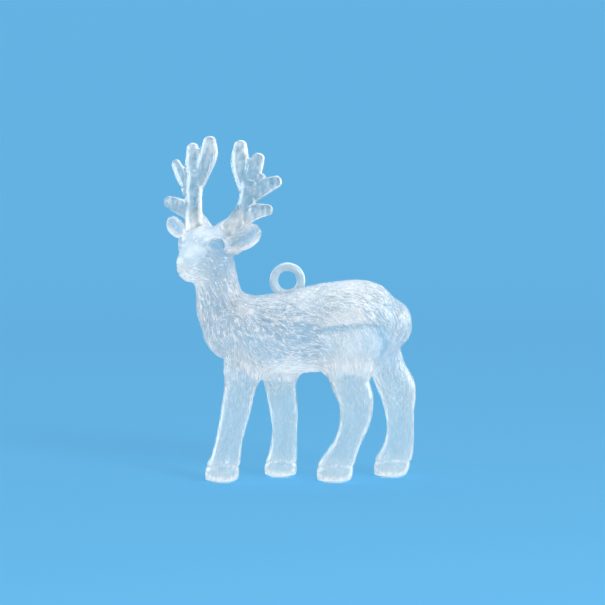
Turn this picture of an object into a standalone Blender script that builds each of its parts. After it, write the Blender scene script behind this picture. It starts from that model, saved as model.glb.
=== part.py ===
"""A moulded stag ornament, about 11 cm tall, that stands on its hooves or hangs from a ring on its back.

Two frosted half shells make the trunk, neck and head. Four clear legs and two antlers end in pegs that
sit in sockets of the shells, and the hanging ring is trapped between the halves. The stag faces -X with
its head turned towards -Y. Left and right are the animal's own. The tables below are in millimetres.
"""

import math

import bmesh
import bpy
from mathutils import Matrix, Vector

MM = 0.001

# Fits between the pieces
GAP = 0.3  # clearance round every piece where it meets its neighbour
WALL = 2.2  # thickness of the half shells
PEG_LENGTH = 4.4  # from the joint face into the shell
LEG_PEG_RADIUS = 2.5
LEG_PEG_PLAY = 0.8  # how much a leg's peg stops short of the end of its socket
ANTLER_PEG_RADIUS = 1.35
PEG_ROOT = 3.0  # how far a peg runs back into its own piece
PIN_RADIUS = 1.1
PIN_LENGTH = 2.6
PIN_ROOT = 2.0

# Cutters reach past what they cut: a leg's joint face, its socket below the joint, and an antler's foot
LEG_FACE_RADIUS = 11.0
LEG_FACE_DROP = 30.0
SOCKET_DROP = 12.0
LEG_TOP_REACH = 14.0
ANTLER_FACE_RADIUS = 3.6
ANTLER_FACE_RISE = 6.0
ANTLER_FOOT_RADIUS = 5.0
ANTLER_FOOT_DEPTH = 8.0
FAR = 200.0
FLOOR_DEPTH = 20.0

# How the overlapping forms melt into one skin: voxel, rounds of smoothing, and the triangles kept
BODY_MELT = (0.8, 3, 4600)
CAVITY_MELT = (1.2, 2, 1200)
LEG_MELT = (0.55, 2, 900)
ANTLER_MELT = (0.4, 2, 1100)
RING_MELT = (0.3, 1, 1000)
RING_SEAT_MELT = (0.35, 0, 800)

# The head: its middle, and how far it is turned from -X towards -Y
HEAD = Vector((-25.6, -3.2, 73.7))
HEAD_TURN = math.radians(60)
FORWARD = Vector((-math.cos(HEAD_TURN), -math.sin(HEAD_TURN), 0))
LEFTWARD = Vector((math.sin(HEAD_TURN), -math.cos(HEAD_TURN), 0))
UP = Vector((0, 0, 1))

# Forms of the head, as (left, forward, up) of its middle, then half sizes the same way round
CRANIUM = [(0, 0, 0), (9.3, 8.4, 6.3)]
JAW = [(-0.2, 2.0, -5.8), (8.8, 6.4, 6.3)]
EYE = [(7.2, 3.4, -0.2), (1.9, 1.9, 1.6)]
MUZZLE = [(0, 1, -3.0, 8.2, 6.8), (-0.3, 6.5, -5.2, 6.4, 6.0), (-0.5, 9.6, -6.5, 4.5, 4.9)]

# Each ear: its root and the way it points, as (left, forward, up), then its half length and half width
EARS = {
    "left": ((9.5, 0.2, 0.5), (0.86, -0.12, 0.48), 5.9, 3.9),
    "right": ((-8.8, 0.0, 3.8), (-0.80, -0.20, 0.55), 4.8, 3.0),
}
EAR_THICKNESS = 1.2
EAR_CUP = 0.11  # how fast the rim of an ear curls forward
CROWN = [(0.1, 3.7, 3.0), (3.5, 4.6, 3.8)]  # under each antler: distance inward, half width, half depth

# Sections (x, y, z, half width in the side view, half depth) from one end of each limb to the other
TRUNK = [
    (-14, 0, 46.8, 11.1, 11.0),
    (-4, 0, 46.4, 12.7, 11.8),
    (6, 0, 47.4, 13.6, 12.0),
    (16, 0, 48.8, 14.0, 12.3),
    (25, 0, 49.8, 13.1, 12.0),
    (32, 0, 48.7, 8.7, 9.3),
]
CHEST = [(-14.3, 0, 47.7), (12.9, 11.8, 11.0)]
NECK = [
    (-16.2, 0, 46.6, 9.6, 9.8),
    (-20.8, 0, 53.6, 8.3, 8.3),
    (-22.2, -0.6, 60.0, 7.1, 7.2),
    (-23.3, -1.6, 66.0, 7.0, 6.8),
    (-24.8, -2.6, 70.5, 7.0, 6.6),
]
TAIL = [
    (32.2, 0, 53.4, 2.2, 4.0),
    (35.9, 0, 49.9, 2.6, 3.2),
    (36.8, 0, 47.0, 2.3, 2.4),
    (35.9, 0, 44.8, 1.4, 1.8),
]

# Soft corners under the belly, each as a middle and radii: behind the front legs, between them, and
# in front of the hind legs
CORNERS = [
    [(1.5, 6.0, 36.5), (4.5, 5.0, 5.0)],
    [(-8.5, 0.0, 35.0), (4.0, 7.0, 4.2)],
    [(13.0, -6.0, 38.0), (4.5, 5.0, 5.0)],
]

# The hollow inside: stations of the same kind, from which the wall is taken
TRUNK_HOLLOW = [(-11, 0, 46.5, 11.2, 11.2), *TRUNK[1:-1], (29, 0, 49.3, 9.8, 9.8)]
NECK_HOLLOW = [(-14, 0, 47.2, 9.8, 9.6), *NECK[1:3], (-22.4, -1.0, 62.5, 7.0, 6.7)]

# Each leg from inside the trunk down to the sole, and the height of its joint with the shell
LEGS = {
    "leg_front_left": (30.0, [
        (-10.0, -5.5, 45.0, 8.5, 6.0),
        (-13.6, -7.2, 36.0, 7.0, 5.2),
        (-15.1, -8.0, 29.7, 5.1, 4.4),
        (-16.7, -8.6, 21.5, 4.7, 4.1),
        (-18.4, -9.0, 14.0, 4.3, 3.7),
        (-19.7, -9.3, 7.2, 4.8, 4.1),
        (-20.8, -9.5, 3.0, 5.5, 4.7),
        (-20.6, -9.5, -0.6, 4.0, 3.4),
    ]),
    "leg_front_right": (28.5, [
        (-4.0, 4.5, 45.2, 7.5, 6.0),
        (-3.2, 6.8, 35.3, 6.1, 5.0),
        (-2.5, 8.0, 28.4, 5.0, 4.4),
        (-1.4, 8.5, 20.0, 4.5, 4.0),
        (-1.3, 8.8, 14.2, 4.1, 3.6),
        (-1.9, 9.0, 6.8, 4.7, 4.1),
        (-2.7, 9.2, 2.9, 5.3, 4.7),
        (-3.0, 9.2, -0.6, 3.9, 3.4),
    ]),
    "leg_rear_left": (32.0, [
        (23.0, -5.5, 51.0, 11.5, 8.0),
        (21.5, -7.3, 41.5, 9.6, 6.8),
        (19.0, -8.4, 33.3, 6.6, 5.5),
        (21.1, -8.9, 26.0, 5.6, 4.6),
        (20.8, -9.1, 19.2, 4.9, 4.1),
        (18.6, -9.3, 12.8, 4.2, 3.9),
        (16.0, -9.4, 7.2, 5.1, 4.3),
        (14.4, -9.5, 3.2, 5.8, 4.8),
        (14.4, -9.5, -0.6, 4.3, 3.6),
    ]),
    "leg_rear_right": (32.5, [
        (26.5, 5.0, 51.2, 11.0, 8.0),
        (28.2, 7.0, 42.3, 7.6, 6.5),
        (31.7, 8.2, 34.0, 5.9, 5.4),
        (34.5, 8.7, 28.4, 6.1, 4.8),
        (35.3, 8.9, 21.0, 4.8, 4.1),
        (35.6, 9.0, 15.0, 4.5, 3.8),
        (34.6, 9.1, 8.3, 5.2, 4.3),
        (32.6, 9.2, 3.3, 5.7, 4.8),
        (32.8, 9.2, -0.6, 4.2, 3.6),
    ]),
}

# Each antler as branches of (x, z, radius); the first branch is the beam, from its foot in the crown
ANTLER_LEAN = 0.36  # how far the antlers lean back for each millimetre of height
ANTLER_FOOT = 79.0  # the height at which the lean starts
ANTLER_FLATNESS = 0.78  # depth over width
ANTLERS = {
    "antler_right": [
        [
            (-29.3, 78.9, 3.7),
            (-29.9, 82.6, 3.1),
            (-29.9, 87.3, 2.7),
            (-29.9, 92.2, 2.9),
            (-29.2, 95.8, 3.2),
        ],
        [(-28.8, 93.5, 2.5), (-26.6, 98.6, 2.8), (-25.1, 102.8, 2.9), (-25.0, 106.8, 2.8)],
        [(-30.0, 95.0, 2.5), (-30.3, 100.0, 2.6), (-30.5, 104.7, 2.4)],
        [(-31.0, 91.0, 2.1), (-33.8, 95.8, 2.1), (-36.0, 99.7, 1.9)],
        [(-30.8, 84.7, 2.5), (-35.0, 86.6, 2.4), (-38.4, 87.8, 2.0)],
    ],
    "antler_left": [
        [
            (-18.2, 78.4, 3.7),
            (-16.1, 81.3, 3.2),
            (-14.0, 84.8, 2.9),
            (-12.7, 88.7, 2.9),
            (-12.3, 93.0, 3.2),
        ],
        [(-13.2, 91.3, 2.5), (-14.9, 97.2, 2.8), (-15.3, 101.4, 2.9), (-15.2, 105.4, 2.8)],
        [(-12.3, 93.0, 2.6), (-10.8, 97.8, 2.6), (-9.3, 101.3, 2.4)],
        [(-11.6, 89.9, 2.6), (-7.2, 92.7, 2.4), (-3.3, 94.1, 2.1)],
        [(-13.0, 83.9, 2.8), (-9.4, 85.1, 2.5), (-6.0, 85.4, 2.1)],
    ],
}

# The hanging ring, upright along the back, and the flange that holds it under the shell wall
RING = Vector((-0.35, 0, 63.0))
RING_RADIUS = 4.3
RING_WIRE = 1.38
RING_SIDES = 32
WIRE_SIDES = 14
STEM_RADIUS = 1.5
FLANGE_RADIUS = 3.4
FLANGE_THICKNESS = 1.3
FLANGE_TOP = 56.3
FLANGE_JOIN = 0.4  # how far the stem runs down into the flange

# Pins across the seam: in the head, in the chest and in the rump
PINS = [Vector((-23.5, 0, 71.5)), Vector((-23.6, 0, 46.6)), Vector((34.4, 0, 49.6))]

FROSTED = ((0.72, 0.84, 0.93), 0.38)
CLEAR = ((0.66, 0.80, 0.90), 0.14)
RING_BLUE = ((0.45, 0.63, 0.78), 0.30)


def through(rows, steps):
    """Points on a smooth curve through rows of numbers, each row included."""
    rows = [Vector(row) for row in rows]
    rows = [2 * rows[0] - rows[1], *rows, 2 * rows[-1] - rows[-2]]
    found = []
    for a, b, c, d in zip(rows, rows[1:], rows[2:], rows[3:]):
        for step in range(steps):
            t = step / steps
            bend = (2 * a - 5 * b + 4 * c - d) * t**2 + (3 * b - a - 3 * c + d) * t**3
            found.append(b + ((c - a) * t + bend) / 2)
    found.append(rows[-2])
    return found


def add_loft(bm, stations, depth_axis=(0, 1, 0), sides=20, steps=4, inset=0.0, cap=0.8):
    """Add a closed tube of elliptical sections along the stations, with rounded ends."""
    rows = through(stations, steps)
    spots = [Vector(row[:3]) for row in rows]
    aims = [(b - a).normalized() for a, b in zip(spots, spots[1:])]
    aims = [aims[0], *((a + b).normalized() for a, b in zip(aims, aims[1:])), aims[-1]]
    sections = [(s, t, r[3] - inset, r[4] - inset) for s, t, r in zip(spots, aims, rows)]

    def rounded(section, sign):
        spot, aim, width, depth = section
        reach = cap * min(width, depth)
        angles = [math.pi / 2 * i / 4 for i in (1, 2, 3)]
        return [
            (spot + sign * aim * reach * math.sin(a), aim, width * math.cos(a), depth * math.cos(a))
            for a in angles
        ], spot + sign * aim * reach

    start, first = rounded(sections[0], -1)
    end, last = rounded(sections[-1], 1)
    rings = []
    for spot, aim, width, depth in [*reversed(start), *sections, *end]:
        deep = Vector(depth_axis)
        deep = (deep - aim * deep.dot(aim)).normalized()
        wide = deep.cross(aim)
        turns = [2 * math.pi * i / sides for i in range(sides)]
        places = [spot + wide * width * math.cos(a) + deep * depth * math.sin(a) for a in turns]
        rings.append([bm.verts.new(place) for place in places])
    for low, high in zip(rings, rings[1:]):
        for i in range(sides):
            j = (i + 1) % sides
            bm.faces.new((low[i], high[i], high[j], low[j]))
    for tip, ring in ((first, rings[0]), (last, rings[-1])):
        middle = bm.verts.new(tip)
        for i in range(sides):
            j = (i + 1) % sides
            corners = (middle, ring[i], ring[j])
            bm.faces.new(corners if ring is rings[0] else corners[::-1])


def add_ball(bm, centre, radii, axes=None):
    """Add an ellipsoid whose radii lie along the given axes."""
    axes = axes or (Vector((1, 0, 0)), Vector((0, 1, 0)), UP)
    turn = Matrix([axis * r for axis, r in zip(axes, radii)]).transposed().to_4x4()
    place = Matrix.Translation(centre) @ turn
    return bmesh.ops.create_uvsphere(bm, u_segments=20, v_segments=12, radius=1, matrix=place)["verts"]


def add_rod(bm, start, end, radius, sides=24):
    """Add a closed cylinder from start to end."""
    start, end = Vector(start), Vector(end)
    along = end - start
    place = Matrix.Translation((start + end) / 2) @ along.to_track_quat("Z", "Y").to_matrix().to_4x4()
    bmesh.ops.create_cone(
        bm, cap_ends=True, segments=sides, radius1=radius, radius2=radius, depth=along.length, matrix=place
    )


def of_head(left, forward, up):
    """A direction or an offset given in the head's own terms."""
    return LEFTWARD * left + FORWARD * forward + UP * up


def add_ear(bm, root, aim, half_length, half_width):
    """Add a leaf-shaped ear, cupped towards the front of the head."""
    along = of_head(*aim).normalized()
    front = (FORWARD - along * FORWARD.dot(along)).normalized()
    wide = front.cross(along)
    middle = HEAD + of_head(*root) + along * (half_length - 0.6)
    for vert in add_ball(bm, middle, (half_length, half_width, EAR_THICKNESS), (along, wide, front)):
        across = (vert.co - middle).dot(wide)
        vert.co += front * EAR_CUP * across**2


def new_object(name, bm, collection, origin=(0, 0, 0)):
    """Turn a bmesh in millimetres into an object that stands at origin."""
    bmesh.ops.recalc_face_normals(bm, faces=bm.faces)
    mesh = bpy.data.meshes.new(name)
    to_metres = Matrix.Scale(MM, 4) @ Matrix.Translation(-Vector(origin))
    bmesh.ops.transform(bm, matrix=to_metres, verts=bm.verts)
    bm.to_mesh(mesh)
    bm.free()
    obj = bpy.data.objects.new(name, mesh)
    obj.location = Vector(origin) * MM
    collection.objects.link(obj)
    return obj


def seen(obj):
    """The object with its modifiers carried out."""
    bpy.context.view_layer.update()
    return obj.evaluated_get(bpy.context.evaluated_depsgraph_get())


def fused(name, bm, collection, melt, origin=(0, 0, 0)):
    """Melt the overlapping forms of a bmesh into one smooth skin and keep about that many triangles."""
    voxel, smoothing, triangles = melt
    source = new_object(name, bm, collection, origin)
    remesh = source.modifiers.new("Fuse", "REMESH")
    remesh.mode = "VOXEL"
    remesh.voxel_size = voxel * MM
    smooth = source.modifiers.new("Smooth", "SMOOTH")
    smooth.factor = 0.5
    smooth.iterations = smoothing
    squares = len(seen(source).data.polygons)
    thin = source.modifiers.new("Thin", "DECIMATE")
    thin.ratio = min(1.0, triangles / (2 * squares))
    mesh = bpy.data.meshes.new_from_object(seen(source))
    rough_mesh = source.data
    source.modifiers.clear()
    source.data = mesh
    bpy.data.meshes.remove(rough_mesh)
    return source


def boolean(obj, operation, cutter):
    modifier = obj.modifiers.new(f"{operation.title()} {cutter.name}", "BOOLEAN")
    modifier.operation = operation
    modifier.solver = "EXACT"
    modifier.object = cutter


def as_cutter(obj):
    obj.hide_render = True
    obj.display_type = "WIRE"
    return obj


def material(name, look):
    colour, roughness = look
    made = bpy.data.materials.new(name)
    made.use_nodes = True
    shader = made.node_tree.nodes["Principled BSDF"]
    shader.inputs["Base Color"].default_value = (*colour, 1)
    shader.inputs["Roughness"].default_value = roughness
    shader.inputs["Metallic"].default_value = 0.0
    return made


def antler_depth(x, z):
    """The y of an antler point: across the head from its place in the side view, and back with height."""
    back = max(0.0, ANTLER_LEAN * (z - ANTLER_FOOT))
    across = (x - HEAD.x - back * math.cos(HEAD_TURN)) / math.sin(HEAD_TURN)
    return HEAD.y + 1.2 - across * math.cos(HEAD_TURN) + back * math.sin(HEAD_TURN)


def antler_peg(branches):
    """The foot of an antler's beam and the direction in which its peg enters the crown."""
    (x0, z0, _), (x1, z1, _) = branches[0][:2]
    foot = Vector((x0, antler_depth(x0, z0), z0))
    return foot, (foot - Vector((x1, antler_depth(x1, z1), z1))).normalized()


def leg_joint(name):
    """The middle of the flat joint between a leg and its shell."""
    height, stations = LEGS[name]
    return min(through(stations, 12), key=lambda row: abs(row[2] - height))


def box(name, low, high, collection):
    bm = bmesh.new()
    bmesh.ops.create_cube(bm, size=1)
    size = Vector(high) - Vector(low)
    middle = (Vector(high) + Vector(low)) / 2
    bmesh.ops.transform(bm, matrix=Matrix.Translation(middle) @ Matrix.Diagonal((*size, 1)), verts=bm.verts)
    return as_cutter(new_object(name, bm, collection))


def body_form(parts_bin):
    """The whole trunk, neck and head with the tops of the legs, as one skin."""
    bm = bmesh.new()
    for limb in (TRUNK, NECK, TAIL):
        add_loft(bm, limb)
    add_ball(bm, *CHEST)
    for _, stations in LEGS.values():
        add_loft(bm, stations[:4], cap=0.9)
    for middle, radii in CORNERS:
        add_ball(bm, middle, radii)
    axes = (LEFTWARD, FORWARD, UP)
    for offset, radii in (CRANIUM, JAW):
        add_ball(bm, HEAD + of_head(*offset), radii, axes)
    (left, forward, up), radii = EYE
    for side in (left, -left):
        add_ball(bm, HEAD + of_head(side, forward, up), radii, axes)
    add_loft(bm, [(*(HEAD + of_head(*row[:3])), *row[3:]) for row in MUZZLE], depth_axis=UP)
    for ear in EARS.values():
        add_ear(bm, *ear)
    for branches in ANTLERS.values():
        foot, inward = antler_peg(branches)
        crown = [(*(foot + inward * deep), wide, thick) for deep, wide, thick in CROWN]
        add_loft(bm, crown, FORWARD, cap=0.5)
    return fused("body_form", bm, parts_bin, BODY_MELT)


def cavity_form(parts_bin):
    """The hollow of the trunk and neck, a wall's thickness inside the skin."""
    bm = bmesh.new()
    for stations in (TRUNK_HOLLOW, NECK_HOLLOW):
        add_loft(bm, stations, inset=WALL, cap=0.5)
    return as_cutter(fused("cavity", bm, parts_bin, CAVITY_MELT))


def sockets(parts_bin):
    """Everything that is bored out of the shells for the pieces that plug into them."""
    bm = bmesh.new()
    for name in LEGS:
        x, y, z = leg_joint(name)[:3]
        top = (x, y, z + PEG_LENGTH + GAP)
        add_rod(bm, (x, y, z - SOCKET_DROP), top, LEG_PEG_RADIUS + GAP)
    for branches in ANTLERS.values():
        foot, inward = antler_peg(branches)
        start = foot - inward * ANTLER_FACE_RISE
        add_rod(bm, start, foot + inward * (PEG_LENGTH + GAP), ANTLER_PEG_RADIUS + GAP)
    return as_cutter(new_object("sockets", bm, parts_bin))


def joint_faces(parts_bin):
    """Blocks that end the shells at the joints: one below each leg joint, one above each antler's foot."""
    bm = bmesh.new()
    for name in LEGS:
        x, y, z = leg_joint(name)[:3]
        add_rod(bm, (x, y, z - LEG_FACE_DROP), (x, y, z), LEG_FACE_RADIUS)
    for branches in ANTLERS.values():
        foot, inward = antler_peg(branches)
        add_rod(bm, foot, foot - inward * ANTLER_FACE_RISE, ANTLER_FACE_RADIUS)
    return as_cutter(new_object("joint_faces", bm, parts_bin))


def ring_seat(parts_bin):
    """The slot through the back for the ring, and the room under it for the ring's flange."""
    bm = bmesh.new()
    add_ring(bm, GAP)
    return as_cutter(fused("ring_seat", bm, parts_bin, RING_SEAT_MELT))


def add_ring(bm, grow=0.0):
    """Add the ring, its stem and its flange, all larger by grow."""
    loops = []
    for turn in range(RING_SIDES):
        angle = 2 * math.pi * turn / RING_SIDES
        out = Vector((math.sin(angle), 0, -math.cos(angle)))
        loop = []
        for side in range(WIRE_SIDES):
            around = 2 * math.pi * side / WIRE_SIDES
            across = out * math.cos(around) + Vector((0, 1, 0)) * math.sin(around)
            loop.append(bm.verts.new(RING + out * RING_RADIUS + across * (RING_WIRE + grow)))
        loops.append(loop)
    for low, high in zip(loops, loops[1:] + loops[:1]):
        for side in range(WIRE_SIDES):
            after = (side + 1) % WIRE_SIDES
            bm.faces.new((low[side], high[side], high[after], low[after]))
    foot = Vector((RING.x, 0, FLANGE_TOP))
    add_rod(bm, foot - UP * FLANGE_JOIN, RING - UP * RING_RADIUS, STEM_RADIUS + grow)
    add_rod(bm, foot - UP * (FLANGE_THICKNESS + grow), foot + UP * grow, FLANGE_RADIUS + grow)


def make_shell(name, form, cutters, model):
    """One half of the body, cut from a copy of the whole form."""
    obj = bpy.data.objects.new(name, form.data.copy())
    model.objects.link(obj)
    for operation, cutter in cutters:
        boolean(obj, operation, cutter)
    return obj


def make_leg(name, model, parts_bin, floor_cutter):
    """A leg below its joint, with a hoof that stands flat and a peg for the shell's socket."""
    height, stations = LEGS[name]
    x, y, z = leg_joint(name)[:3]
    bm = bmesh.new()
    add_loft(bm, stations[1:], cap=0.2, steps=5, sides=22)
    leg = fused(name, bm, model, LEG_MELT, origin=(x, y, z))
    low = (x - LEG_TOP_REACH, y - LEG_TOP_REACH, z - GAP)
    high = (x + LEG_TOP_REACH, y + LEG_TOP_REACH, z + 2 * LEG_TOP_REACH)
    boolean(leg, "DIFFERENCE", box(f"{name}_top", low, high, parts_bin))
    bm = bmesh.new()
    add_rod(bm, (x, y, z - PEG_ROOT), (x, y, z + PEG_LENGTH - LEG_PEG_PLAY), LEG_PEG_RADIUS)
    peg = as_cutter(new_object(f"{name}_peg", bm, parts_bin))
    boolean(leg, "UNION", peg)
    boolean(leg, "DIFFERENCE", floor_cutter)
    return leg


def make_antler(name, model, parts_bin):
    """An antler with its tines and the peg that plugs into the crown."""
    branches = ANTLERS[name]
    foot, inward = antler_peg(branches)
    bm = bmesh.new()
    for branch in branches:
        rows = [(x, antler_depth(x, z), z, r, r * ANTLER_FLATNESS) for x, z, r in branch]
        add_loft(bm, rows, depth_axis=FORWARD, sides=16, steps=3, cap=0.9)
    antler = fused(name, bm, model, ANTLER_MELT, origin=foot)
    bm = bmesh.new()
    add_rod(bm, foot - inward * GAP, foot + inward * ANTLER_FOOT_DEPTH, ANTLER_FOOT_RADIUS)
    boolean(antler, "DIFFERENCE", as_cutter(new_object(f"{name}_foot", bm, parts_bin)))
    bm = bmesh.new()
    add_rod(bm, foot - inward * PEG_ROOT, foot + inward * PEG_LENGTH, ANTLER_PEG_RADIUS, sides=18)
    boolean(antler, "UNION", as_cutter(new_object(f"{name}_peg", bm, parts_bin)))
    return antler


def main():
    for obj in list(bpy.data.objects):
        bpy.data.objects.remove(obj, do_unlink=True)
    model = bpy.data.collections.new("stag_ornament")
    cutters = bpy.data.collections.new("cutters")
    for collection in (model, cutters):
        bpy.context.scene.collection.children.link(collection)

    form = as_cutter(body_form(cutters))
    cavity = cavity_form(cutters)
    bores = sockets(cutters)
    faces = joint_faces(cutters)
    seat = ring_seat(cutters)
    halves = {
        "body_shell_left": box("left_half", (-FAR, -FAR, -FAR), (FAR, -GAP / 2, FAR), cutters),
        "body_shell_right": box("right_half", (-FAR, GAP / 2, -FAR), (FAR, FAR, FAR), cutters),
    }
    frosted = material("frosted_plastic", FROSTED)
    clear = material("clear_plastic", CLEAR)
    ring_blue = material("ring_plastic", RING_BLUE)

    pin_bm = bmesh.new()
    hole_bm = bmesh.new()
    for pin in PINS:
        root = pin + Vector((0, PIN_ROOT, 0))
        add_rod(pin_bm, root, pin - Vector((0, PIN_LENGTH, 0)), PIN_RADIUS, 16)
        add_rod(hole_bm, root, pin - Vector((0, PIN_LENGTH + GAP, 0)), PIN_RADIUS + GAP, 16)
    pins = as_cutter(new_object("pins", pin_bm, cutters))
    holes = as_cutter(new_object("pin_holes", hole_bm, cutters))

    made = []
    for name, half in halves.items():
        steps = [("DIFFERENCE", cavity), ("DIFFERENCE", faces), ("DIFFERENCE", bores), ("DIFFERENCE", seat)]
        steps.append(("INTERSECT", half))
        steps.append(("UNION", pins) if name == "body_shell_right" else ("DIFFERENCE", holes))
        shell = make_shell(name, form, steps, model)
        shell.data.materials.append(frosted)
        made.append(shell)

    ground = box("ground", (-FAR, -FAR, -FLOOR_DEPTH), (FAR, FAR, 0), cutters)
    for name in LEGS:
        leg = make_leg(name, model, cutters, ground)
        leg.data.materials.append(clear)
        made.append(leg)
    for name in ANTLERS:
        antler = make_antler(name, model, cutters)
        antler.data.materials.append(clear)
        made.append(antler)

    bm = bmesh.new()
    add_ring(bm)
    ring = fused("hanging_ring", bm, model, RING_MELT, origin=RING)
    ring.data.materials.append(ring_blue)
    made.append(ring)

    corners = [obj.matrix_world @ Vector(corner) for obj in made for corner in seen(obj).bound_box]
    low, high = ([pick(c[i] for c in corners) for i in range(3)] for pick in (min, max))
    centre = bpy.data.objects.new("stag", None)
    centre.location = (-(low[0] + high[0]) / 2, -(low[1] + high[1]) / 2, 0)
    model.objects.link(centre)
    for obj in made + list(cutters.objects):
        obj.parent = centre


main()
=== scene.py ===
"""The looks of the frosted stag ornament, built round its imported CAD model.

Lengths in the tables are millimetres in the stag's own frame: the seam of the body lies on y = 0, the
soles on z = 0, the stag faces -X and turns its head towards -Y. seam_shift carries that frame to the
packed one. The body and the legs are one fused skin, which is furred first and then cut at the joints,
so each piece is closed and meets its neighbour exactly. Fur, folds and hooves are real geometry.
"""

import math

import bmesh
import bpy
import numpy as np
from mathutils import Matrix, Vector


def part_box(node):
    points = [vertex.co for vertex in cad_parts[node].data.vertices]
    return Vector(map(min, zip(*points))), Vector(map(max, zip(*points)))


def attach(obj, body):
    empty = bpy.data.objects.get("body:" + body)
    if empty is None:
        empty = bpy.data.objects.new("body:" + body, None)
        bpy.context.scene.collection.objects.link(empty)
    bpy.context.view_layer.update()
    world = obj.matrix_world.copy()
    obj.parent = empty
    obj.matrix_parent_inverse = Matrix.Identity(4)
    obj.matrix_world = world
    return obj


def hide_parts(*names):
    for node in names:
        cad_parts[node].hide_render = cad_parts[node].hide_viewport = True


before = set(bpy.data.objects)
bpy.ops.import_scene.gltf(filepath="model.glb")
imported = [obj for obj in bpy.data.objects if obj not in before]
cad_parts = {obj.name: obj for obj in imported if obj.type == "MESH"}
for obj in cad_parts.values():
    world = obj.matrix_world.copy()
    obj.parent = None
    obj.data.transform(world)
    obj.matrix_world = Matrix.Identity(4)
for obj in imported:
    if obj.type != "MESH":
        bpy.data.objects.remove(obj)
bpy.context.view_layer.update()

MM = 0.001
UP = Vector((0, 0, 1))

# The voxels that the forms are fused with: coarsely first, so that corners can be softened, then finely
ROUGH_VOXEL = 0.6
SKIN_VOXEL = 0.245
ROUGH_ANTLER_VOXEL = 0.35
ANTLER_VOXEL = 0.17

# A limb's sides, the steps of its rounded ends, how blunt most of them are, and a ball's sides and rows
LOFT_SIDES = 40
CAP_STEPS = 8
BLUNT = 0.9
BALL_SIDES = 48
BALL_ROWS = 32

# How far past its cuts each piece is taken before it is trimmed to them, and how near a cut a point
# has to be to lie on it
CUT_OVERLAP = 1
ON_PLANE = 1e-3

# The head: its middle, and how far it is turned from -X towards -Y
HEAD = Vector((-25.6, -3.2, 73.7))
HEAD_TURN = math.radians(60)
FORWARD = Vector((-math.cos(HEAD_TURN), -math.sin(HEAD_TURN), 0))
LEFTWARD = Vector((math.sin(HEAD_TURN), -math.cos(HEAD_TURN), 0))
HEAD_AXES = (LEFTWARD, FORWARD, UP)

RING = Vector((-0.35, 0, 63.0))
RING_RADIUS = 4.3
RING_WIRE = 1.36

# Sections (x, y, z, half width in the side view, half depth) from one end of each limb to the other
TRUNK = [
    (-14, 0, 46.8, 11.1, 11.0),
    (-4, 0, 46.4, 12.7, 11.8),
    (6, 0, 47.4, 13.6, 12.0),
    (16, 0, 48.8, 14.0, 12.3),
    (25, 0, 49.8, 13.1, 12.0),
    (32, 0, 48.7, 8.7, 9.3),
]
CHEST = [(-14.3, 0, 47.7), (12.9, 11.8, 11.0)]
NECK = [
    (-16.2, 0, 46.6, 9.6, 9.8),
    (-20.8, 0, 53.6, 8.3, 8.3),
    (-22.2, -0.6, 60.0, 7.1, 7.2),
    (-23.3, -1.6, 66.0, 7.0, 6.8),
    (-24.8, -2.6, 70.5, 7.0, 6.6),
]
TAIL = [
    (32.2, 0, 53.4, 2.2, 4.0),
    (35.9, 0, 49.9, 2.6, 3.2),
    (36.8, 0, 47.0, 2.3, 2.4),
    (35.9, 0, 44.8, 1.4, 1.8),
]

# Soft corners under the belly, each as a middle and radii: behind the front legs, between them, and
# in front of the hind legs
CORNERS = [
    [(1.5, 6.0, 36.5), (4.4, 4.9, 4.9)],
    [(-8.5, 0.0, 35.0), (3.9, 6.9, 4.1)],
    [(13.0, -6.0, 38.0), (4.4, 4.9, 4.9)],
]

# Where the limbs run into the trunk with wide soft corners: a middle, and the reach along each axis
FILLETS = [
    ((-8, 0, 34), (5, 14, 5)),
    ((3, 0, 34), (5, 14, 5)),
    ((11, 0, 36), (5, 14, 5)),
    ((26, 0, 36), (4, 14, 6)),
    ((-14, -1, 58), (2, 9, 1.5)),
    ((-18, -2, 66), (3, 9, 3)),
    ((36, 0, 43), (4, 9, 5)),
    ((34, 0, 56), (3.5, 10, 3)),
]
FILLET_ROUNDS = 90

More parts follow.
